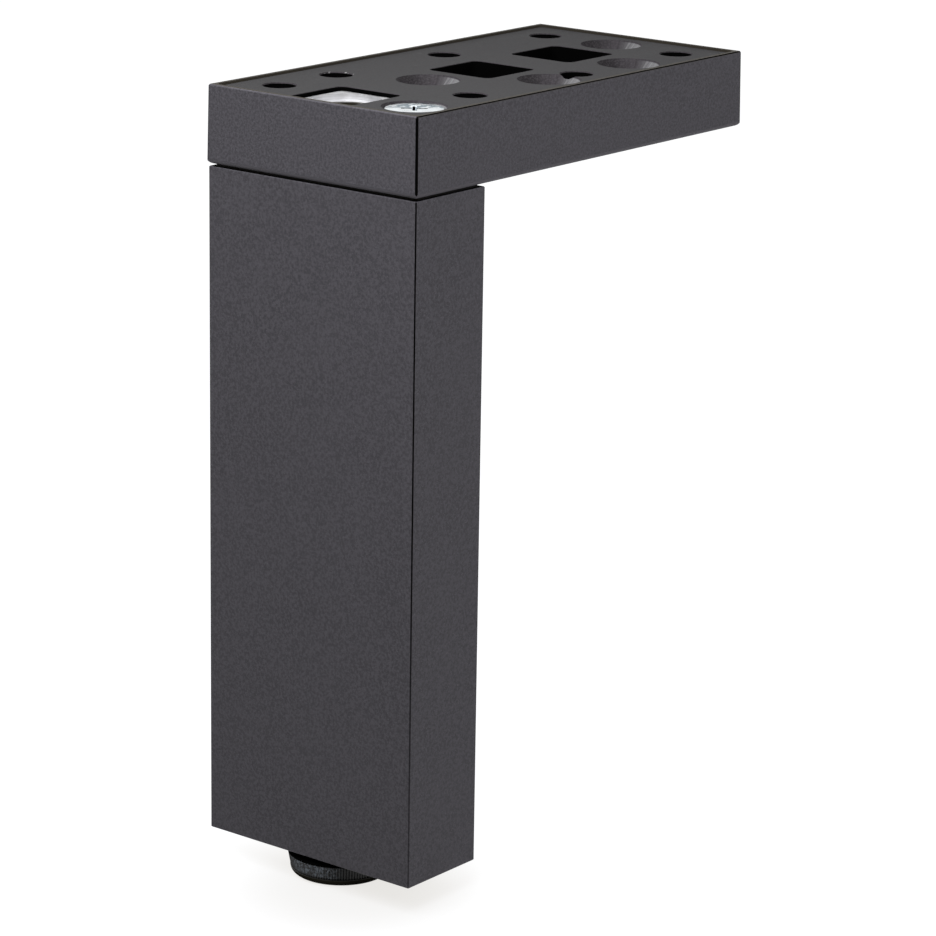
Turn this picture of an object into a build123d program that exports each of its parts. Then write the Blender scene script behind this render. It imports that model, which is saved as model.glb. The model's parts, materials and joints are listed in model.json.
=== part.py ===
from build123d import *
import os
from math import atan, cos, degrees, pi, sin, sqrt, tan

# Adjustable furniture leg: a flat head that is screwed under a cabinet, a rectangular tube
# below one end of it, and a ribbed screw foot that is turned to level the furniture.
# All sizes are in millimetres. +Z is up and z = 0 is the floor. The Z axis is the middle of
# the tube and of the foot, and the head reaches out along +X.

# Overall sizes
overall_height = 150.0
shadow_gap = 0.4            # open line between the head and the column

# Head housing: a cast tray, open at the top
head_length = 100.0         # at its lower edge
head_width = 50.0
head_height = 14.8
head_draft = 0.2            # how far each side leans in by the top
head_floor = 3.0
rim_wall = 1.1
head_corner_radius = 0.45
head_lower_radius = 1.2
head_rim_break = 0.25
housing_corner = 1.2        # inside corners of the tray

# Mounting plate: a moulded insert that fills the tray
plate_recess = 0.45         # plate surface below the rim
plate_gap = 0.2             # open line between the rim and the plate
plate_thickness = 3.0
hole_edge_break = 0.2       # at the mouths of the holes
well_wall = 1.6             # walls around windows and holes, and ribs

# Windows that take the spigot on top of the column, in three places
window_side = 14.7
window_fit = 0.35           # around the spigot, in the plate
window_corner = 1.5
window_edge_break = 0.1
second_window_x = 39.5
third_window_x = 64.5
lock_offset = 16.0          # from a window's middle to its leg screw

# Holes for the cabinet's screws, on the 32 mm grid of cabinet making
grid_step = 32.0
first_column_x = 16.0
fixing_hole_radius = 3.1

# Leg screw, countersunk
screw_shank_radius = 3.0
screw_head_radius = 5.4
screw_head_land = 0.3
screw_length = 30.0
screw_sunk = 0.35           # head below the plate's surface
screw_thread_pitch = 1.0
screw_recess_span = 4.8     # cross recess, at its mouth
screw_recess_width = 0.9
screw_recess_tip_span = 1.8
screw_recess_tip_width = 0.5
screw_recess_depth = 2.6
screw_recess_turn = 41      # degrees
screw_hole_clearance = 0.2
thread_clearance = 0.05     # radial, between a screw thread and its nut

# Column: an extruded rectangular tube, set back a little from the head's near end and sides
column_depth = 19.6
column_inset = 0.3
column_wall = 1.5
column_corner_radius = 0.25
column_bore_corner = 0.8
column_end_break = 0.15

# Block in the top of the column
block_height = 22.0         # inside the column
block_fit = 0.05            # around the block and the plug
flange_inset = 0.8          # of the flange that rests on the column, from the column's sides
spigot_corner = 1.2
spigot_fit = 0.15           # around the spigot, in the floor of the head
spigot_drop = 0.8           # spigot's top below the plate's surface
spigot_dish_wall = 0.3      # left at the sides of the spigot, around the turned dish
spigot_dish_depth = 1.2
key_hole_radius = 4.2
block_edge_break = 0.3

# Plug in the foot of the column, with the nut of the screw foot
plug_height = 18.0
plug_wall = 1.8
plug_floor = 10.2
nut_across_flats = 13.0
nut_height = 6.5
nut_fit = 0.05
nut_sunk = 0.3              # nut above the plug's lower face

# Screw foot
thread_radius = 4.0
thread_pitch = 1.25
spindle_length = 46.0
socket_across_flats = 4.0
socket_depth = 5.0
spindle_seat = 1.5          # lower end of the spindle above the floor
spindle_fit = 0.03          # radial, in the foot disc
foot_gap = 1.0              # open height between the column and the foot disc
foot_height = 4.3
foot_radius = 10.2
foot_taper = 0.5            # how much smaller the disc is at its lower edge
foot_lower_radius = 1.4
rib_count = 112
rib_depth = 0.25
rib_set_in = 0.05           # of the ribs, at their lower end

# Standard proportions
thread_depth_share = 0.613  # depth of a metric thread, as a share of its pitch
break_angle = 45            # of a broken edge, in degrees
upright_share = 0.9         # an edge that climbs at least this share of its length is upright

# Worked out from the sizes above
head_bottom = overall_height - head_height
column_top = head_bottom - shadow_gap
column_bottom = foot_height + foot_gap
column_width = head_width - 2 * column_inset
head_near_end = column_depth / 2 + column_inset
head_middle_x = head_length / 2 - head_near_end
tray_floor = head_bottom + head_floor
tray_length = head_length - 2 * (head_draft + rim_wall)
tray_width = head_width - 2 * (head_draft + rim_wall)
plate_top = overall_height - plate_recess
plate_length = tray_length - 2 * plate_gap
plate_width = tray_width - 2 * plate_gap
row_y = grid_step / 2
window_xs = [0, second_window_x, third_window_x]
fixing_xs = [first_column_x + n * grid_step for n in range(3)]
fixing_places = [(x, y) for x in fixing_xs for y in (-row_y, row_y)]
blind_hole_place = (0, row_y)
screw_place = (0, -lock_offset)
spare_seat_places = [
    (second_window_x, -lock_offset),
    (second_window_x - lock_offset, 0),
    (third_window_x, -lock_offset),
    (third_window_x + lock_offset, 0),
]
screw_hole_radius = screw_shank_radius + screw_hole_clearance
sink_radius = screw_head_radius + screw_head_land + screw_sunk
spigot_side = window_side - 2 * window_fit
spigot_dish_radius = spigot_side / 2 - spigot_dish_wall
bore_width = column_width - 2 * column_wall
bore_depth = column_depth - 2 * column_wall
screw_top = plate_top - screw_sunk


def prism(length, width, bottom, top, radius, x=0.0, y=0.0):
    """An upright block with rounded corners between two heights."""
    outline = Pos(x, y, bottom) * RectangleRounded(length, width, radius)
    return extrude(outline, top - bottom)


def rod(radius, bottom, top, x=0.0, y=0.0):
    """An upright cylinder between two heights."""
    return extrude(Pos(x, y, bottom) * Circle(radius), top - bottom)


def funnel(mouth_radius, throat_radius, mouth_z, x=0.0, y=0.0):
    """A 90 degree countersink that narrows downwards from its mouth."""
    depth = mouth_radius - throat_radius
    return Pos(x, y, mouth_z - depth / 2) * Cone(throat_radius, mouth_radius, depth)


def head_housing():
    """The coated tray: drafted sides, rounded lower edge, and openings in its floor."""
    taper = degrees(atan(head_draft / head_height))
    outline = Pos(head_middle_x, 0, head_bottom) * Rectangle(head_length, head_width)
    sides = extrude(outline, head_height, taper=taper)
    uprights = sides.edges().filter_by(lambda edge: abs(edge.tangent_at(0.5).Z) > upright_share)
    sides = fillet(uprights, head_corner_radius)
    block = Box(head_length, head_width, head_height)
    rounded = fillet(block.faces().sort_by(Axis.Z)[0].edges(), head_lower_radius)
    rounded = Pos(head_middle_x, 0, head_bottom + head_height / 2) * rounded
    tray = sides & rounded
    tray = chamfer(tray.faces().sort_by(Axis.Z)[-1].edges(), head_rim_break)
    tray -= prism(tray_length, tray_width, tray_floor, overall_height, housing_corner, head_middle_x)

    spigot_opening = spigot_side + 2 * spigot_fit
    opening_corner = spigot_corner + spigot_fit
    tray -= prism(spigot_opening, spigot_opening, head_bottom, tray_floor, opening_corner)
    tray -= rod(screw_hole_radius, head_bottom, tray_floor, *screw_place)
    for place in fixing_places:
        tray -= rod(fixing_hole_radius, head_bottom, tray_floor, *place)
    return tray


def plate_walls():
    """The walls that stand under the plate: wells, bosses and ribs, before they are hollowed."""
    foot, head = tray_floor, plate_top - plate_thickness
    well = window_side + 2 * well_wall
    walls = [prism(well, well, foot, head, window_corner + well_wall, x) for x in window_xs]
    for place in fixing_places + [blind_hole_place]:
        walls.append(rod(fixing_hole_radius + well_wall, foot, head, *place))
    for place in spare_seat_places + [screw_place]:
        walls.append(rod(sink_radius + well_wall, foot, head, *place))
    middle = (foot + head) / 2
    for y in (-row_y, 0, row_y):
        walls.append(Pos(head_middle_x, y, middle) * Box(plate_length, well_wall, head - foot))
    for x in fixing_xs:
        walls.append(Pos(x, 0, middle) * Box(well_wall, plate_width, head - foot))
    return walls


def mounting_plate():
    """The moulded insert: a plate with windows, screw holes and countersunk seats over its walls."""
    corner = housing_corner - plate_gap
    limit = prism(plate_length, plate_width, tray_floor, plate_top, corner, head_middle_x)
    plate = prism(plate_length, plate_width, plate_top - plate_thickness, plate_top, corner, head_middle_x)
    for wall in plate_walls():
        plate += wall & limit

    mouth = window_side + 2 * window_edge_break
    for x in window_xs:
        plate -= prism(window_side, window_side, tray_floor, plate_top, window_corner, x)
        rim = Pos(x, 0, plate_top) * RectangleRounded(mouth, mouth, window_corner + window_edge_break)
        plate -= extrude(rim, -window_edge_break, taper=break_angle)
    for place in fixing_places + [blind_hole_place]:
        plate -= rod(fixing_hole_radius, tray_floor, plate_top, *place)
        plate -= funnel(fixing_hole_radius + hole_edge_break, fixing_hole_radius, plate_top, *place)

    # The cone of a seat is the cone of the screw's head, and reaches the plate's surface.
    for place in spare_seat_places + [screw_place]:
        plate -= funnel(sink_radius, screw_hole_radius, plate_top, *place)
    plate -= rod(screw_hole_radius, tray_floor, plate_top, *screw_place)
    return plate


def leg_screw():
    """The countersunk screw with a cross recess that holds the head on the column."""
    cone_height = screw_head_radius - screw_shank_radius
    land_bottom = screw_top - screw_head_land
    x, y = screw_place
    screw = rod(screw_head_radius, land_bottom, screw_top, x, y)
    screw += funnel(screw_head_radius, screw_shank_radius, land_bottom, x, y)
    screw += rod(screw_shank_radius, screw_top - screw_length, land_bottom - cone_height, x, y)
    screw = chamfer(screw.faces().sort_by(Axis.Z)[0].edges(), thread_depth_share * screw_thread_pitch)
    mouth = Pos(0, 0, screw_top) * Rectangle(screw_recess_span, screw_recess_width)
    recess_bottom = screw_top - screw_recess_depth
    tip = Pos(0, 0, recess_bottom) * Rectangle(screw_recess_tip_span, screw_recess_tip_width)
    wing = loft([mouth, tip])
    for turn in (0, 90):
        screw -= Pos(x, y, 0) * Rot(0, 0, screw_recess_turn + turn) * wing
    return screw


def column():
    """The extruded tube."""
    tube = prism(column_depth, column_width, column_bottom, column_top, column_corner_radius)
    ends = tube.faces().sort_by(Axis.Z)
    tube = chamfer(ends[0].edges() + ends[-1].edges(), column_end_break)
    return tube - prism(bore_depth, bore_width, column_bottom, column_top, column_bore_corner)


def fill(bottom, top):
    """A block that fits the column's bore, between two heights."""
    corner = column_bore_corner - block_fit
    return prism(bore_depth - 2 * block_fit, bore_width - 2 * block_fit, bottom, top, corner)


def top_block():
    """The block in the top of the column: a flange, and the square spigot that locks into a window."""
    block = fill(column_top - block_height, column_top)
    block = chamfer(block.faces().sort_by(Axis.Z)[0].edges(), block_edge_break)
    flange_depth = column_depth - 2 * flange_inset
    flange_width = column_width - 2 * flange_inset
    block += prism(flange_depth, flange_width, column_top, head_bottom, column_bore_corner)
    spigot_top = plate_top - spigot_drop
    block += prism(spigot_side, spigot_side, head_bottom, spigot_top, spigot_corner)
    block -= rod(spigot_dish_radius, spigot_top - spigot_dish_depth, spigot_top)
    block -= rod(key_hole_radius, column_top - block_height, spigot_top)
    block -= rod(screw_shank_radius + thread_clearance, column_top - block_height, head_bottom, *screw_place)
    return block


def hexagon(across_flats, bottom, top):
    """An upright hexagonal prism between two heights."""
    outline = Pos(0, 0, bottom) * RegularPolygon(across_flats / 2, 6, major_radius=False, rotation=30)
    return extrude(outline, top - bottom)


def bottom_plug():
    """The moulded plug in the foot of the column, with a pocket for the nut on its lower side."""
    plug = fill(column_bottom, column_bottom + plug_height)
    floor = column_bottom + plug_floor
    cup = prism(bore_depth - 2 * (block_fit + plug_wall), bore_width - 2 * (block_fit + plug_wall),
                floor, column_bottom + plug_height, column_bore_corner)
    plug -= cup
    plug -= hexagon(nut_across_flats + 2 * nut_fit, column_bottom, column_bottom + nut_sunk + nut_height)
    plug -= rod(thread_radius + thread_clearance, column_bottom, floor)
    return plug


def spindle_nut():
    """The hexagon nut, with both ends turned down to a cone at its corners."""
    bottom = column_bottom + nut_sunk
    corner_radius = nut_across_flats / sqrt(3)
    bevel = (corner_radius - nut_across_flats / 2) * tan(pi / 6)
    turned = rod(corner_radius, bottom, bottom + nut_height)
    turned = chamfer(turned.edges().filter_by(GeomType.CIRCLE), bevel, corner_radius - nut_across_flats / 2)
    nut = hexagon(nut_across_flats, bottom, bottom + nut_height) & turned
    return nut - rod(thread_radius + thread_clearance, bottom, bottom + nut_height)


def spindle():
    """The screw of the foot, with a hexagon socket in its upper end."""
    top = spindle_seat + spindle_length
    screw = rod(thread_radius, spindle_seat, top)
    screw = chamfer(screw.edges().filter_by(GeomType.CIRCLE), thread_depth_share * thread_pitch)
    return screw - hexagon(socket_across_flats, top - socket_depth, top)


def rib_outline(radius, z):
    """The disc's outline through its ribs, with a point outwards for each rib."""
    turns = [n * pi / rib_count for n in range(2 * rib_count)]
    radii = [radius, radius - rib_depth] * rib_count
    points = [(reach * cos(turn), reach * sin(turn), z) for reach, turn in zip(radii, turns)]
    return make_face(Polyline(points, close=True))


def foot_disc():
    """The ribbed disc: a rounded base that is turned, with the ribs above its rounding."""
    low = foot_radius - foot_taper
    bend = foot_lower_radius
    diagonal = bend * (1 - sqrt(0.5))
    section = Polyline((0, 0), (low - bend, 0))
    section += ThreePointArc((low - bend, 0), (low - diagonal, diagonal), (low, bend))
    section += Polyline((low, bend), (0, bend), (0, 0))
    disc = revolve(Plane.XZ * make_face(section), Axis.Z)
    ribs = [rib_outline(low - rib_set_in, bend), rib_outline(foot_radius, foot_height)]
    disc += loft(ribs, ruled=True)
    return disc - rod(thread_radius + spindle_fit, spindle_seat, foot_height)


PARTS = {
    "head_housing": head_housing,
    "mounting_plate": mounting_plate,
    "leg_screw": leg_screw,
    "column": column,
    "top_block": top_block,
    "bottom_plug": bottom_plug,
    "spindle_nut": spindle_nut,
    "spindle": spindle,
    "foot_disc": foot_disc,
}

os.makedirs("parts", exist_ok=True)
for node, make in PARTS.items():
    export_step(make(), f"parts/{node}.step")
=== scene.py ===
import json
import math

import bmesh
import bpy
from mathutils import Matrix, Vector


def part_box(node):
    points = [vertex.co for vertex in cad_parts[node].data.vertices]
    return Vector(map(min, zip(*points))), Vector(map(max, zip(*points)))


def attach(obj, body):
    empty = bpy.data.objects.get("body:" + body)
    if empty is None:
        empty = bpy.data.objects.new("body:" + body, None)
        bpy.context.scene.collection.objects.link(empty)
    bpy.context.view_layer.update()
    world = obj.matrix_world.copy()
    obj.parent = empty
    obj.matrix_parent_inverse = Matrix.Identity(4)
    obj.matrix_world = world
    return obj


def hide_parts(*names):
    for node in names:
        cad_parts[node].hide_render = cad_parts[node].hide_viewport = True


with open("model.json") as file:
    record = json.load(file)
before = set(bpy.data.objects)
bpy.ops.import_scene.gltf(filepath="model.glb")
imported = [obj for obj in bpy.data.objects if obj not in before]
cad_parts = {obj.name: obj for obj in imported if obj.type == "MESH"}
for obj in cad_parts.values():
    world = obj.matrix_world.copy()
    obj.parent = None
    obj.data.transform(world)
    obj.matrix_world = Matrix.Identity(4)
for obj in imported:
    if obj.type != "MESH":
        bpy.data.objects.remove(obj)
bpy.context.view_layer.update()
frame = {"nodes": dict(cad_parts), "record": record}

# Adjustable furniture leg: a coated head and column, a moulded mounting plate with its leg
# screw, and a ribbed screw foot. All lengths are in metres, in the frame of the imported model.

nodes = frame["nodes"]
slot_colours = {m["slot"]: (*m["base_color"], 1.0) for m in frame["record"]["materials"]}
MM = 0.001

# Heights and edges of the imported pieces, which the finishes follow
head_low, head_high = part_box("head_housing")
screw_low, screw_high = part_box("leg_screw")
plate_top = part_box("mounting_plate")[1].z
block_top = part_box("top_block")[1].z
foot_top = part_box("foot_disc")[1].z
rim_wall = 1.1 * MM

# Camera, fitted to the photograph
camera_target = Vector((30.0, 0.0, 75.0)) * MM
camera_azimuth = math.radians(-51.570)
camera_elevation = math.radians(15.502)
camera_roll = math.radians(0.898)
camera_distance = 725.529 * MM
camera_offset = Vector((4.443, -1.518)) * MM
camera_lens = 145.23
camera_sensor = 36.0
camera_clip = (0.01, 20.0)

# Light: the share of the surroundings that reaches matt surfaces, and four soft lamps, each
# with its place, its size and its power in watts
sky_share = 0.28
lamps = {
    "key": (Vector((-0.15, -0.04, 0.34)), 0.28, 1.0),
    "side": (Vector((0.09, -0.45, 0.18)), 0.35, 0.60),
    "top": (Vector((0.03, 0.0, 0.60)), 0.40, 0.30),
    "rear": (Vector((0.05, 0.45, 0.10)), 0.20, 0.35),
}
lamp_target = Vector((0.01, 0.0, 0.10))

# Floor: its size, its own colours, and the colours of the view: white, and dimmer round the foot as
# a painted shadow
floor_radius = 6.0
floor_sides = 64
floor_grain = 2 * MM
floor_dark, floor_pale = (0.28, 0.275, 0.25, 1), (0.30, 0.295, 0.27, 1)
floor_bump = 0.01 * MM
shadow_colour = (0.15, 0.16, 0.18, 1)
dim_place = Vector((-0.008, -0.009, 0.0))
dim_zone = (8 * MM, 40 * MM)
dim_colour = (0.79, 0.775, 0.75, 1)
white = (1, 1, 1, 1)


def under(top, start, whole):
    """A zone of heights, from where it starts to where it is whole, in mm below a top."""
    return top - start * MM, top - whole * MM


# Powder coat. Noise sizes are the sizes of the grains; a zone runs from where it starts to
# where it is whole, and a zone of normals is given by their upward share
near_black = (0.002, 0.002, 0.002, 1)
coat_grain, coat_specks, coat_clouds = 0.5 * MM, 0.2 * MM, 14 * MM
coat_bump = 0.06 * MM
# Painted shade along the upright corners of the head and column
corner_slant_zone = (0.08, 0.25)
corner_reach_zone = (24.0 * MM, 24.2 * MM)
corner_fade_zone = (0.0, 80.0 * MM)
corner_fade_share = 0.55
level_zone, not_level_zone, sloping_zone = (0.85, 0.95), (0.95, 0.85), (0.4, 0.5)
rim_zone = under(head_high.z, 0.30, 0.27)
rim_line_zone = under(head_high.z, 0.21, 0.16)
rim_crest_zone = under(head_high.z, 0.14, 0.10)
inside_zone = under(plate_top, 0.5, 0.4)
inside_wall = rim_wall - 0.05 * MM
# Darker rim top, and painted shade on the rim's inner walls and far bevels
rim_dark = (0.036, 0.031, 0.024, 1)
head_rounding_zone = under(head_low.z, 0.1, -0.1)
column_end_zone = under(head_low.z, 0.0, 0.2)

# Moulded plate, with light flecks on the far edge of one hole: moulding burrs with a painted glint
plate_grain, plate_flow, plate_scuffs = 0.35 * MM, 9 * MM, 1.3 * MM
plate_bump = 0.02 * MM
seat_streaks = 0.03
# Painted light on the seats: a dark and a pale side, and a painted highlight
seat_light = (-0.62, 0.78, 0.0)
seat_bright_zone = under(plate_top, 0.2, 0.35)
well_zone = under(plate_top, 1.8, 2.7)
seat_dark, seat_pale = (0.024, 0.022, 0.024, 1), (0.055, 0.050, 0.056, 1)
seat_bright = (0.26, 0.26, 0.27, 1)
seat_streak_colour, seat_grain_colour = (0.03, 0.028, 0.03, 1), (0.11, 0.10, 0.11, 1)
fleck_hole = Vector((16.0 * MM, 16.0 * MM, plate_top))
fleck_size = 0.6 * MM
fleck_zone = under(plate_top, 0.25, 0.20)
fleck_inner_zone, fleck_outer_zone = (3.0 * MM, 3.2 * MM), (3.5 * MM, 3.3 * MM)
fleck_far = 1.5 * MM
fleck_colour = (0.35, 0.35, 0.35, 1)
away_from_camera = Vector((0.78, 0.62, 0.0))

# Metals
metal_grain, metal_clouds = 0.25 * MM, 2.5 * MM
metal_bump = 0.012 * MM
zinc_roughness, screw_roughness, block_roughness = 0.26, 0.3, 0.45
block_patches = 1.5 * MM
ring_pitch, ring_height = 1.2 * MM, 0.5 * MM
# Painted shade on the block below its dish, on its sides and in its hole
block_shade_zone = under(block_top, 1.3, 1.45)
block_side_zone = (6.8 * MM, 6.9 * MM)
block_hole_zone = (5.3 * MM, 5.1 * MM)
block_shade, block_hole = (0.006, 0.0055, 0.005, 1), (0.055, 0.05, 0.04, 1)
# Painted blue-grey reflection on the screw's head, and painted shade in its recess
reflection_size = 1.5 * MM
reflection_start, reflection_whole = -0.6 * MM, 1.4 * MM
reflection_colour = (0.16, 0.22, 0.26, 1)
recess_zone = under(screw_high.z, 0.03, 0.08)
recess_floor_zone = under(screw_high.z, 2.9, 3.0)
recess_reach_zone = (3.2 * MM, 3.0 * MM)
slit_zone, tip_zone = (0.30 * MM, 0.24 * MM), (1.7 * MM, 1.9 * MM)
recess_shade = (0.25, 0.28, 0.30, 1)

# Black mouldings, with a painted highlight on one side of the foot and painted shade near the floor
# and under the column
moulding_grain, moulding_clouds = 0.22 * MM, 4 * MM
moulding_bump = 0.02 * MM
highlight_side = (-1.0, -0.08, 0.0)
highlight_size = 0.5 * MM
highlight_reach_zone, highlight_height_zone = (7.5 * MM, 9.8 * MM), (1.5 * MM, 2.0 * MM)
highlight_colour = (0.16, 0.18, 0.21, 1)
foot_low_zone = (1.5 * MM, 1.2 * MM)
foot_low_colour = (0.022, 0.020, 0.015, 1)
foot_top_zone = under(foot_top, 0.35, 0.25)

# Leg screw, M6, and spindle, M8
screw_shank = 3.0 * MM
screw_land = 0.3 * MM
screw_pitch = 1.0 * MM
screw_edge = 0.12 * MM
recess_span, recess_width = 4.8 * MM, 0.9 * MM
recess_tip_span, recess_tip_width = 1.8 * MM, 0.5 * MM
recess_depth = 2.6 * MM
recess_turn = math.radians(41)
tick_span, tick_width, tick_depth = 6.4 * MM, 0.2 * MM, 0.15 * MM
tick_tip_span, tick_tip_width = 6.0 * MM, 0.1 * MM
spindle_pitch = 1.25 * MM
thread_depth_share = 0.613
thread_crest_share, thread_flank_share = 0.15, 0.6
thread_run_in, thread_run_in_slope = 2 * MM, 2
thread_rows_per_pitch = 8
thread_columns = 48
ring_spacing = 1e-6
socket_across_flats = 4.0 * MM
socket_depth = 5.0 * MM
cutter_rise = 0.01 * MM
smooth_below = math.radians(35)


class Finish:
    """A procedural material, laid out in the part's own space."""

    def __init__(self, name, metallic=0.0, specular=0.5):
        self.material = bpy.data.materials.new(name)
        self.material.use_nodes = True
        self.tree = self.material.node_tree
        self.shader = self.tree.nodes["Principled BSDF"]
        self.gloss = {"Metallic": metallic, "Specular IOR Level": specular}
        self.unlit = []
        coordinates = self.add("ShaderNodeTexCoord")
        self.place = coordinates.outputs["Object"]
        self.normal = coordinates.outputs["Normal"]
        self.x, self.y, self.z = self.axes(self.place)
        self.nx, self.ny, self.nz = self.axes(self.normal)

    def add(self, kind, inputs=None, **settings):
        node = self.tree.nodes.new(kind)
        for key, value in settings.items():
            setattr(node, key, value)
        for key, value in (inputs or {}).items():
            self.plug(node.inputs[key], value)
        return node

    def plug(self, socket, value):
        if isinstance(value, bpy.types.NodeSocket):
            self.tree.links.new(value, socket)
        else:
            socket.default_value = value

    def noise(self, size, detail=2.0, stretch=(1, 1, 1), vector=None):
        """Noise from 0 to 1, with grains of about the given size, stretched along each axis."""
        space = self.add("ShaderNodeMapping", {"Vector": vector or self.place, "Scale": stretch})
        inputs = {"Vector": space.outputs[0], "Scale": 1 / size, "Detail": detail}
        return self.add("ShaderNodeTexNoise", inputs).outputs[0]

    def math(self, operation, a, b=0.0):
        return self.add("ShaderNodeMath", {0: a, 1: b}, operation=operation).outputs[0]

    def size(self, value):
        """A value without its sign."""
        return self.math("ABSOLUTE", value)

    def without(self, mask):
        """Where the mask doesn't hold."""
        return self.math("SUBTRACT", 1.0, mask)

    def both(self, *masks):
        """Where all the masks hold."""
        result = masks[0]
        for mask in masks[1:]:
            result = self.math("MULTIPLY", result, mask)
        return result

    def ease(self, value, low, high, to_low=0.0, to_high=1.0):
        """Maps low to high smoothly onto another range."""
        inputs = {"Value": value, "From Min": low, "From Max": high,
                  "To Min": to_low, "To Max": to_high}
        return self.add("ShaderNodeMapRange", inputs, interpolation_type="SMOOTHSTEP").outputs[0]

    def mix(self, share, a, b):
        return self.add("ShaderNodeMix", {0: share, 6: a, 7: b}, data_type="RGBA").outputs[2]

    def paint_shade(self, colour, mask, black=near_black):
        """Painted shade: near black, and without gloss, where the mask holds."""
        self.unlit.append(mask)
        return self.mix(mask, colour, black)

    def axes(self, vector):
        return self.add("ShaderNodeSeparateXYZ", {0: vector}).outputs

    def along(self, vector, direction):
        """How far a vector reaches along a direction."""
        node = self.add("ShaderNodeVectorMath", {0: vector, 1: direction}, operation="DOT_PRODUCT")
        return node.outputs["Value"]

    def reach(self, middle):
        """Distance of a point from the upright axis through middle."""
        dx = self.math("SUBTRACT", self.x, middle.x)
        dy = self.math("SUBTRACT", self.y, middle.y)
        squares = self.math("ADD", self.math("MULTIPLY", dx, dx), self.math("MULTIPLY", dy, dy))
        return self.math("SQRT", squares)

    def finish(self, colour, roughness, height, depth, strength=1.0):
        """Plugs the colour, the roughness and a bump of the given depth into the shader."""
        self.plug(self.shader.inputs["Base Color"], colour)
        self.plug(self.shader.inputs["Roughness"], roughness)
        for name, share in self.gloss.items():
            for mask in self.unlit:
                share = self.math("MULTIPLY", share, self.without(mask))
            self.plug(self.shader.inputs[name], share)
        inputs = {"Height": height, "Distance": depth, "Strength": strength}
        bump = self.add("ShaderNodeBump", inputs)
        self.plug(self.shader.inputs["Normal"], bump.outputs[0])
        return self.material


def shade(colour, factor):
    """A colour made darker or lighter."""
    return tuple(c * factor for c in colour[:3]) + (1.0,)


def coat():
    """Fine-textured powder coat, with painted shade along the upright corners and in the gap below
    the head, and painted light and shade on the rim and the head's lower rounding.
    """
    f = Finish("coat", specular=0.1)
    base = slot_colours["coat"]
    grain = f.noise(coat_grain, 3.0)
    fine = f.noise(coat_specks, 2.0)
    cloud = f.noise(coat_clouds, 3.0)
    colour = f.mix(f.ease(grain, 0.34, 0.66), shade(base, 0.70), shade(base, 1.12))
    colour = f.mix(f.ease(fine, 0.60, 0.72), colour, shade(base, 1.6))
    colour = f.mix(f.ease(cloud, 0.35, 0.65, 0.0, 0.12), colour, shade(base, 1.15))

    # Painted shade: a dark line along the upright corners, more faintly towards the floor
    slant = f.size(f.math("MULTIPLY", f.nx, f.ny))
    outer = f.ease(f.size(f.y), *corner_reach_zone)
    fade = f.ease(f.z, *corner_fade_zone, corner_fade_share, 1.0)
    colour = f.paint_shade(colour, f.both(f.ease(slant, *corner_slant_zone), outer, fade))

    # The rim: darker on top, with painted shade on its inner walls and far bevels, a painted
    # highlight on the near bevel and a painted shade line on the long one
    rim = f.ease(f.z, *rim_zone)
    inside = f.both(f.ease(f.z, *inside_zone),
                    f.ease(f.x, head_low.x + inside_wall, head_low.x + rim_wall),
                    f.ease(f.x, head_high.x - inside_wall, head_high.x - rim_wall),
                    f.ease(f.size(f.y), head_high.y - inside_wall, head_high.y - rim_wall))
    flat = f.both(rim, f.ease(f.nz, *level_zone))
    colour = f.mix(flat, colour, rim_dark)
    colour = f.mix(inside, colour, rim_dark)
    # Painted shade on the far bevels and a painted highlight on the near one
    bevel = f.both(rim, f.ease(f.nz, *sloping_zone), f.ease(f.nz, *not_level_zone))
    near_side = f.ease(f.nx, -0.3, -0.5, 0.0, 0.6)
    near_bevel_highlight = f.both(bevel, f.ease(f.z, *rim_crest_zone), near_side,
                  f.ease(fine, 0.3, 0.6, 0.5, 1.0))
    colour = f.mix(f.both(bevel, f.ease(f.nx, -0.3, 0.2)), colour, rim_dark)
    colour = f.mix(near_bevel_highlight, colour, shade(base, 1.7))
    # Painted shade: a black line on the long near bevel
    line = f.both(bevel, f.ease(f.z, *rim_line_zone), f.ease(f.ny, -0.3, -0.5))
    colour = f.paint_shade(colour, line)

    # Painted light on the head's lower rounding, which faces down, and painted shade on the
    # column's end in the gap below the head
    rounding = f.both(f.ease(f.nz, -0.1, -0.5), f.ease(f.z, *head_rounding_zone))
    colour = f.mix(rounding, colour, shade(base, 1.5))
    end = f.both(f.ease(f.nz, *level_zone), f.ease(f.z, *column_end_zone))
    colour = f.paint_shade(colour, end)

    rough = f.ease(grain, 0.3, 0.7, 0.52, 0.66)
    height = f.math("ADD", grain, f.math("MULTIPLY", fine, 0.6))
    return f.finish(colour, rough, height, coat_bump, 0.6)


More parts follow.
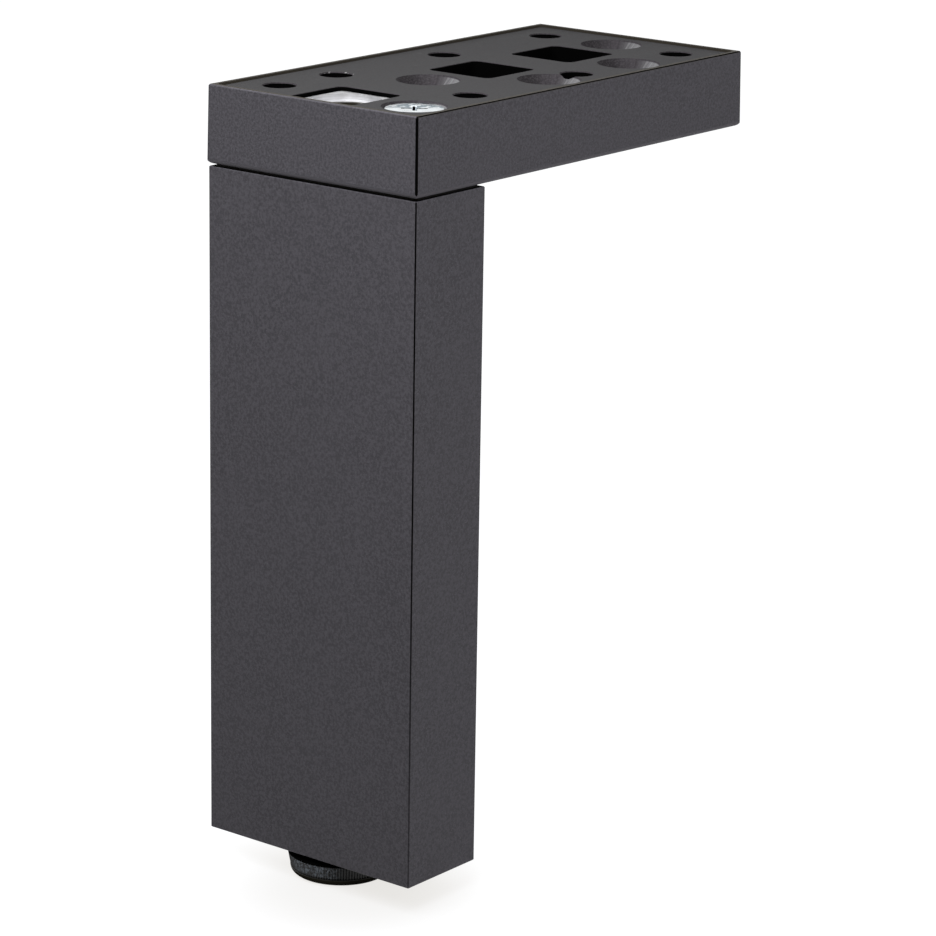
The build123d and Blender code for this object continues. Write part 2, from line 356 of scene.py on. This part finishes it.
def plate():
    """Moulded dark plastic: a matt face, conical seats with fine streaks and painted light, and
    painted shade in the wells.
    """
    f = Finish("plate", specular=0.005)
    base = slot_colours["plate"]
    grain = f.noise(plate_grain, 3.0)
    flow = f.noise(plate_flow, 4.0, (0.35, 1.0, 1.0))
    scuff = f.noise(plate_scuffs, 2.0, (1.0, 0.4, 1.0))
    face = f.mix(f.ease(flow, 0.35, 0.65), shade(base, 0.80), shade(base, 0.98))
    face = f.mix(f.ease(grain, 0.35, 0.7, 0.0, 0.3), face, shade(base, 1.45))
    face = f.mix(f.ease(scuff, 0.70, 0.80, 0.0, 0.4), face, shade(base, 2.0))

    # The seats, with painted light: darker on one side, paler towards the light, and a painted
    # highlight near the top
    streak = f.noise(seat_streaks, 3.0, vector=f.normal)
    turn = f.along(f.normal, seat_light)
    seat = f.mix(f.ease(turn, -0.5, 0.1), seat_dark, seat_pale)
    seat = f.mix(f.both(f.ease(turn, 0.2, 0.68), f.ease(f.z, *seat_bright_zone)), seat, seat_bright)
    seat = f.mix(f.ease(streak, 0.35, 0.65, 0.0, 0.45), seat, seat_streak_colour)
    seat = f.mix(f.ease(grain, 0.4, 0.7, 0.0, 0.3), seat, seat_grain_colour)
    colour = f.mix(f.ease(f.nz, 0.80, 0.95), seat, face)
    # Painted shade on the steep walls and deep in the wells
    colour = f.paint_shade(colour, f.ease(f.nz, 0.55, 0.35))
    colour = f.paint_shade(colour, f.ease(f.z, *well_zone))

    # Light flecks on the far edge of one hole: moulding burrs, painted with the glint they catch
    flecks = f.both(f.ease(f.noise(fleck_size, 1.0), 0.55, 0.65), f.ease(f.nz, 0.3, 0.6),
                    f.ease(f.z, *fleck_zone))
    inputs = {0: f.place, 1: fleck_hole}
    distance = f.add("ShaderNodeVectorMath", inputs, operation="DISTANCE").outputs["Value"]
    ring = f.both(f.ease(distance, *fleck_inner_zone), f.ease(distance, *fleck_outer_zone))
    middle = fleck_hole.dot(away_from_camera)
    far = f.ease(f.along(f.place, away_from_camera), middle, middle + fleck_far)
    colour = f.mix(f.both(flecks, ring, far), colour, fleck_colour)

    rough = f.ease(flow, 0.3, 0.7, 0.46, 0.62)
    return f.finish(colour, rough, grain, plate_bump, 0.5)


def metal(name, roughness):
    """Metal with a fine grain: its finish, roughness, grain and clouds."""
    f = Finish(name, metallic=1.0)
    grain = f.noise(metal_grain, 3.0)
    cloud = f.noise(metal_clouds, 3.0)
    rough = f.ease(cloud, 0.3, 0.7, roughness - 0.06, roughness + 0.08)
    return f, rough, grain, cloud


def plating(f, grain, cloud):
    """The clouded colour of zinc plating."""
    base = slot_colours["zinc"]
    colour = f.mix(f.ease(cloud, 0.3, 0.7), shade(base, 0.84), shade(base, 1.08))
    return f.mix(f.ease(grain, 0.55, 0.75, 0.0, 0.35), colour, shade(base, 0.72))


def block():
    """Aluminium, bright on the spigot's top, with turned rings in its dish, painted shade on its
    sides and below the dish, and dark round and in its hole.
    """
    f, rough, grain, _ = metal("aluminium", block_roughness)
    base = slot_colours["block"]
    patches = f.noise(block_patches, 2.0)
    radius = f.reach(Vector())
    turns = f.math("ADD", f.math("DIVIDE", radius, ring_pitch), f.math("DIVIDE", f.z, ring_height))
    rings = f.math("SINE", f.math("MULTIPLY", turns, 2 * math.pi))
    colour = f.mix(f.ease(rings, 0.0, 1.0, 0.0, 0.4), shade(base, 0.86), shade(base, 0.62))
    colour = f.mix(f.ease(patches, 0.4, 0.6, 0.0, 0.3), colour, shade(base, 0.7))
    # Painted shade below the dish and on the spigot's sides
    colour = f.mix(f.ease(f.z, *block_shade_zone), colour, block_shade)
    outward = f.math("MAXIMUM", f.size(f.nx), f.size(f.ny))
    side = f.both(f.ease(outward, 0.6, 0.8), f.ease(radius, *block_side_zone))
    colour = f.mix(side, colour, block_shade)
    # Dark round the hole, and painted shade inside it
    colour = f.mix(f.ease(radius, *block_hole_zone), colour, block_hole)
    height = f.math("ADD", grain, f.math("MULTIPLY", rings, 0.5))
    return f.finish(colour, rough, height, metal_bump, 0.6)


def zinc():
    """Bright zinc plating."""
    f, rough, grain, cloud = metal("zinc", zinc_roughness)
    return f.finish(plating(f, grain, cloud), rough, grain, metal_bump, 0.6)


def screw_zinc():
    """Zinc plating with a painted blue-grey reflection on the head's far half and painted shade
    deep in its recess.
    """
    f, rough, grain, cloud = metal("screw_zinc", screw_roughness)
    # Painted reflection: blue-grey patches on the far half of the head
    reflection = f.noise(reflection_size, 2.0, (1.0, 1.0, 0.3))
    centre = (screw_low + screw_high) / 2
    middle = centre.dot(away_from_camera)
    away = f.along(f.place, away_from_camera)
    far = f.ease(away, middle + reflection_start, middle + reflection_whole)
    reflected = f.both(f.ease(reflection, 0.42, 0.50), far)
    colour = f.mix(reflected, plating(f, grain, cloud), reflection_colour)

    # Painted shade deep in the recess, black along the wing that runs towards the view and at the
    # tips
    deep = f.both(f.ease(f.z, *recess_zone), f.without(f.ease(f.z, *recess_floor_zone)))
    inner = f.ease(f.reach(centre), *recess_reach_zone)
    colour = f.mix(f.both(deep, inner), colour, recess_shade)
    across = Vector((-math.sin(recess_turn), math.cos(recess_turn), 0.0))
    aside = f.size(f.math("SUBTRACT", f.along(f.place, across), centre.dot(across)))
    dark = f.math("MAXIMUM", f.ease(aside, *slit_zone), f.both(f.ease(aside, *tip_zone), inner))
    colour = f.paint_shade(colour, f.both(deep, inner, dark))
    return f.finish(colour, rough, grain, metal_bump, 0.6)


def moulding(slot, roughness):
    """Black moulded plastic with a fine grain; on the foot, a painted highlight on one side and
    painted shade low on the side and under the column.
    """
    f = Finish(slot, specular=0.3)
    base = slot_colours[slot]
    grain = f.noise(moulding_grain, 3.0)
    cloud = f.noise(moulding_clouds, 3.0)
    colour = f.mix(f.ease(cloud, 0.3, 0.7), shade(base, 0.7), shade(base, 1.15))
    colour = f.mix(f.ease(grain, 0.6, 0.8, 0.0, 0.4), colour, shade(base, 1.8))
    if slot == "foot":
        # Painted highlight on the ribs of one side
        highlighted = f.both(f.ease(f.along(f.place, highlight_side), *highlight_reach_zone),
                         f.ease(f.z, *highlight_height_zone),
                         f.ease(f.noise(highlight_size, 2.0), 0.42, 0.62))
        colour = f.mix(highlighted, colour, highlight_colour)
        # Painted shade low on the side, near the floor
        low_side = f.both(f.ease(f.z, *foot_low_zone), f.ease(f.nz, -0.95, -0.8))
        colour = f.paint_shade(colour, low_side, foot_low_colour)
        # Painted shade on the top and the upper band, under the column
        upper = f.math("MAXIMUM", f.ease(f.nz, 0.4, 0.6), f.ease(f.z, *foot_top_zone))
        colour = f.paint_shade(colour, upper)
    rough = f.ease(cloud, 0.3, 0.7, roughness - 0.06, roughness + 0.06)
    return f.finish(colour, rough, grain, moulding_bump, 0.5)


def dress(node, material):
    """Gives a CAD piece its material."""
    mesh = nodes[node].data
    mesh.materials.clear()
    mesh.materials.append(material)
    for polygon in mesh.polygons:
        polygon.material_index = 0


def lathe(rows, columns, radius_at):
    """A turned skin: radius_at(z, angle) for each height in rows, from top to bottom."""
    mesh = bmesh.new()
    rings = []
    for z in rows:
        ring = []
        for n in range(columns):
            angle = 2 * math.pi * n / columns
            r = radius_at(z, angle)
            ring.append(mesh.verts.new((r * math.cos(angle), r * math.sin(angle), z)))
        rings.append(ring)
    for upper, lower in zip(rings, rings[1:]):
        for n in range(columns):
            m = (n + 1) % columns
            mesh.faces.new((upper[n], lower[n], lower[m], upper[m]))
    return mesh, rings


def cap(mesh, ring, up):
    """Closes the end of a turned piece."""
    mesh.faces.new(ring if up else list(reversed(ring)))


def thread_radius(z, angle, major, pitch):
    """Radius of a right-handed thread with flat crests and roots."""
    depth = thread_depth_share * pitch
    phase = (z / pitch - angle / (2 * math.pi)) % 1.0
    ramp = abs(2 * phase - 1)
    share = (ramp - thread_crest_share) / thread_flank_share
    return major - depth * min(1.0, max(0.0, share))


def heights(top, bottom, step):
    """Evenly spaced heights from top to bottom, about a step apart."""
    count = max(1, round((top - bottom) / step))
    return [top + (bottom - top) * n / count for n in range(count + 1)]


def made(name, mesh, place, material):
    """Turns a bmesh into an object of the scene."""
    bmesh.ops.recalc_face_normals(mesh, faces=mesh.faces)
    data = bpy.data.meshes.new(name)
    mesh.to_mesh(data)
    mesh.free()
    data.transform(Matrix.Translation(place))
    data.materials.append(material)
    piece = bpy.data.objects.new(name, data)
    bpy.context.scene.collection.objects.link(piece)
    return piece


def spindle(material):
    """The foot's screw with its thread and the hexagon socket in its upper end."""
    low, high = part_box("spindle")
    major = (high.x - low.x) / 2
    top, bottom = high.z, low.z
    depth = thread_depth_share * spindle_pitch

    def radius_at(z, angle):
        end = min(top - z, z - bottom)
        return min(thread_radius(z, angle, major, spindle_pitch), major - depth + end)

    rows = heights(top, bottom, spindle_pitch / thread_rows_per_pitch)
    mesh, rings = lathe(rows, thread_columns, radius_at)
    cap(mesh, rings[-1], False)
    socket = []
    for z in (top, top - socket_depth):
        ring = []
        for n in range(thread_columns):
            angle = 2 * math.pi * n / thread_columns
            side = (angle % (math.pi / 3)) - math.pi / 6
            r = socket_across_flats / 2 / math.cos(side)
            ring.append(mesh.verts.new((r * math.cos(angle), r * math.sin(angle), z)))
        socket.append(ring)
    for outer, inner in ((rings[0], socket[0]), (socket[0], socket[1])):
        for n in range(thread_columns):
            m = (n + 1) % thread_columns
            mesh.faces.new((outer[n], outer[m], inner[m], inner[n]))
    cap(mesh, socket[1], True)
    piece = made("spindle_threaded", mesh, Vector(), material)
    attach(piece, "spindle")
    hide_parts("spindle")
    return piece


def wing(mesh, mouth, tip, top, depth, turn):
    """One tapered wing of a recess, from its mouth (span, width) down to its tip."""
    rings = []
    for (span, width), z in ((mouth, top), (tip, top - depth)):
        corners = [(-span, -width), (span, -width), (span, width), (-span, width)]
        places = [Matrix.Rotation(turn, 3, "Z") @ Vector((a / 2, b / 2, z)) for a, b in corners]
        rings.append([mesh.verts.new(place) for place in places])
    upper, lower = rings
    mesh.faces.new(upper)
    mesh.faces.new(list(reversed(lower)))
    for n in range(4):
        m = (n + 1) % 4
        mesh.faces.new((upper[n], lower[n], lower[m], upper[m]))


def leg_screw(material):
    """The countersunk leg screw with its cross recess, its tick marks and its thread."""
    centre = (screw_low + screw_high) / 2
    head = (screw_high.x - screw_low.x) / 2
    top, bottom = screw_high.z, screw_low.z
    neck = top - screw_land - (head - screw_shank)
    depth = thread_depth_share * screw_pitch

    def radius_at(z, angle):
        if z > top - screw_edge:
            return head - screw_edge + (top - z)
        if z > top - screw_land:
            return head
        if z > neck:
            return head - (top - screw_land - z)
        tip = screw_shank - depth + (z - bottom)
        rise = max(0.0, z - neck + thread_run_in) * thread_run_in_slope
        run_in = screw_shank - depth + rise
        return min(screw_shank, tip, max(run_in, thread_radius(z, angle, screw_shank, screw_pitch)))

    rows = [top, top - screw_edge, top - screw_land, neck + ring_spacing]
    rows += heights(neck - ring_spacing, bottom, screw_pitch / thread_rows_per_pitch)
    mesh, rings = lathe(rows, thread_columns, radius_at)
    cap(mesh, rings[0], True)
    cap(mesh, rings[-1], False)
    place = Vector((centre.x, centre.y, 0))
    piece = made("leg_screw_detailed", mesh, place, material)

    cutter = bmesh.new()
    above = top + cutter_rise
    recess = (recess_span, recess_width), (recess_tip_span, recess_tip_width)
    tick = (tick_span, tick_width), (tick_tip_span, tick_tip_width)
    for quarter in (0, 1):
        turn = recess_turn + quarter * math.pi / 2
        wing(cutter, *recess, above, recess_depth, turn)
        wing(cutter, *tick, above, tick_depth, turn + math.pi / 4)
    tool = made("recess_cutter", cutter, place, material)
    cut = piece.modifiers.new("recess", "BOOLEAN")
    cut.object = tool
    cut.operation = "DIFFERENCE"
    cut.solver = "EXACT"
    cut.use_self = True
    bpy.context.view_layer.update()
    graph = bpy.context.evaluated_depsgraph_get()
    solid = bpy.data.meshes.new_from_object(piece.evaluated_get(graph))
    piece.modifiers.clear()
    piece.data = solid
    bpy.data.objects.remove(tool)
    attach(piece, "leg")
    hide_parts("leg_screw")
    return piece


def smooth_by_angle(piece, angle):
    """Smooth shading except over sharp edges."""
    piece.data.shade_smooth()
    piece.data.set_sharp_from_angle(angle=angle)


def surroundings():
    """White surroundings, weaker for matt surfaces than for the view and for mirrors."""
    world = bpy.data.worlds.new("studio")
    bpy.context.scene.world = world
    world.use_nodes = True
    tree = world.node_tree
    sky = tree.nodes["Background"]
    sky.inputs["Color"].default_value = white
    path = tree.nodes.new("ShaderNodeLightPath")
    strength = tree.nodes.new("ShaderNodeMapRange")
    strength.inputs["To Min"].default_value = 1.0
    strength.inputs["To Max"].default_value = sky_share
    tree.links.new(path.outputs["Is Diffuse Ray"], strength.inputs["Value"])
    tree.links.new(strength.outputs[0], sky.inputs["Strength"])


def floor():
    """A floor that stays white in the view, keeps the soft shadow of the foot, and has a painted
    shadow round it.
    """
    mesh = bmesh.new()
    bmesh.ops.create_circle(mesh, cap_ends=True, segments=floor_sides, radius=floor_radius)
    f = Finish("floor", specular=0.0)
    piece = made("floor", mesh, Vector(), f.material)
    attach(piece, "spindle")  # stays under the foot at every height
    grain = f.noise(floor_grain)
    f.finish(f.mix(f.ease(grain, 0.3, 0.7), floor_dark, floor_pale), 0.9, grain, floor_bump)
    shadow = f.add("ShaderNodeBsdfDiffuse", {"Color": shadow_colour})
    # Painted shadow: the view's glow is dimmer round the foot
    pale = f.mix(f.ease(f.reach(dim_place), *dim_zone), dim_colour, white)
    glow = f.add("ShaderNodeEmission", {"Color": pale, "Strength": 1.0})
    view = f.add("ShaderNodeAddShader", {0: shadow.outputs[0], 1: glow.outputs[0]})
    path = f.add("ShaderNodeLightPath")
    share = f.math("MAXIMUM", path.outputs["Is Camera Ray"], path.outputs["Is Glossy Ray"])
    share = f.math("MAXIMUM", share, path.outputs["Is Transmission Ray"])
    seen = f.add("ShaderNodeMixShader", {0: share, 1: f.shader.outputs[0], 2: view.outputs[0]})
    clear = f.add("ShaderNodeBsdfTransparent")
    back = f.add("ShaderNodeNewGeometry").outputs["Backfacing"]
    sided = f.add("ShaderNodeMixShader", {0: back, 1: seen.outputs[0], 2: clear.outputs[0]})
    f.plug(f.tree.nodes["Material Output"].inputs["Surface"], sided.outputs[0])


def lamp(name, place, size, power):
    """A soft square lamp that faces the head of the leg."""
    data = bpy.data.lights.new(name, "AREA")
    data.size = size
    data.energy = power
    piece = bpy.data.objects.new(name, data)
    piece.location = place
    piece.rotation_euler = (place - lamp_target).to_track_quat("Z", "Y").to_euler()
    bpy.context.scene.collection.objects.link(piece)


def camera():
    """The photograph's view."""
    a, e, r = camera_azimuth, camera_elevation, camera_roll
    back = Vector((math.sin(a) * math.cos(e), -math.cos(a) * math.cos(e), math.sin(e)))
    right = Vector((0, 0, 1)).cross(back).normalized()
    up = back.cross(right)
    x_axis = math.cos(r) * right + math.sin(r) * up
    y_axis = math.cos(r) * up - math.sin(r) * right
    place = camera_target + back * camera_distance
    place += x_axis * camera_offset.x + y_axis * camera_offset.y
    data = bpy.data.cameras.new("camera")
    data.lens = camera_lens
    data.sensor_width = camera_sensor
    data.clip_start, data.clip_end = camera_clip
    view = bpy.data.objects.new("camera", data)
    view.matrix_world = Matrix((x_axis, y_axis, back)).transposed().to_4x4()
    view.matrix_world.translation = place
    bpy.context.scene.collection.objects.link(view)
    bpy.context.scene.camera = view


coat_finish = coat()
zinc_finish = zinc()
dress("head_housing", coat_finish)
dress("column", coat_finish)
dress("mounting_plate", plate())
dress("top_block", block())
dress("spindle_nut", zinc_finish)
dress("bottom_plug", moulding("plug", 0.5))
dress("foot_disc", moulding("foot", 0.3))
for turned_piece in (spindle(zinc_finish), leg_screw(screw_zinc())):
    smooth_by_angle(turned_piece, smooth_below)

surroundings()
floor()
for name, settings in lamps.items():
    lamp(name, *settings)
camera()

bpy.context.scene.view_settings.view_transform = "Standard"
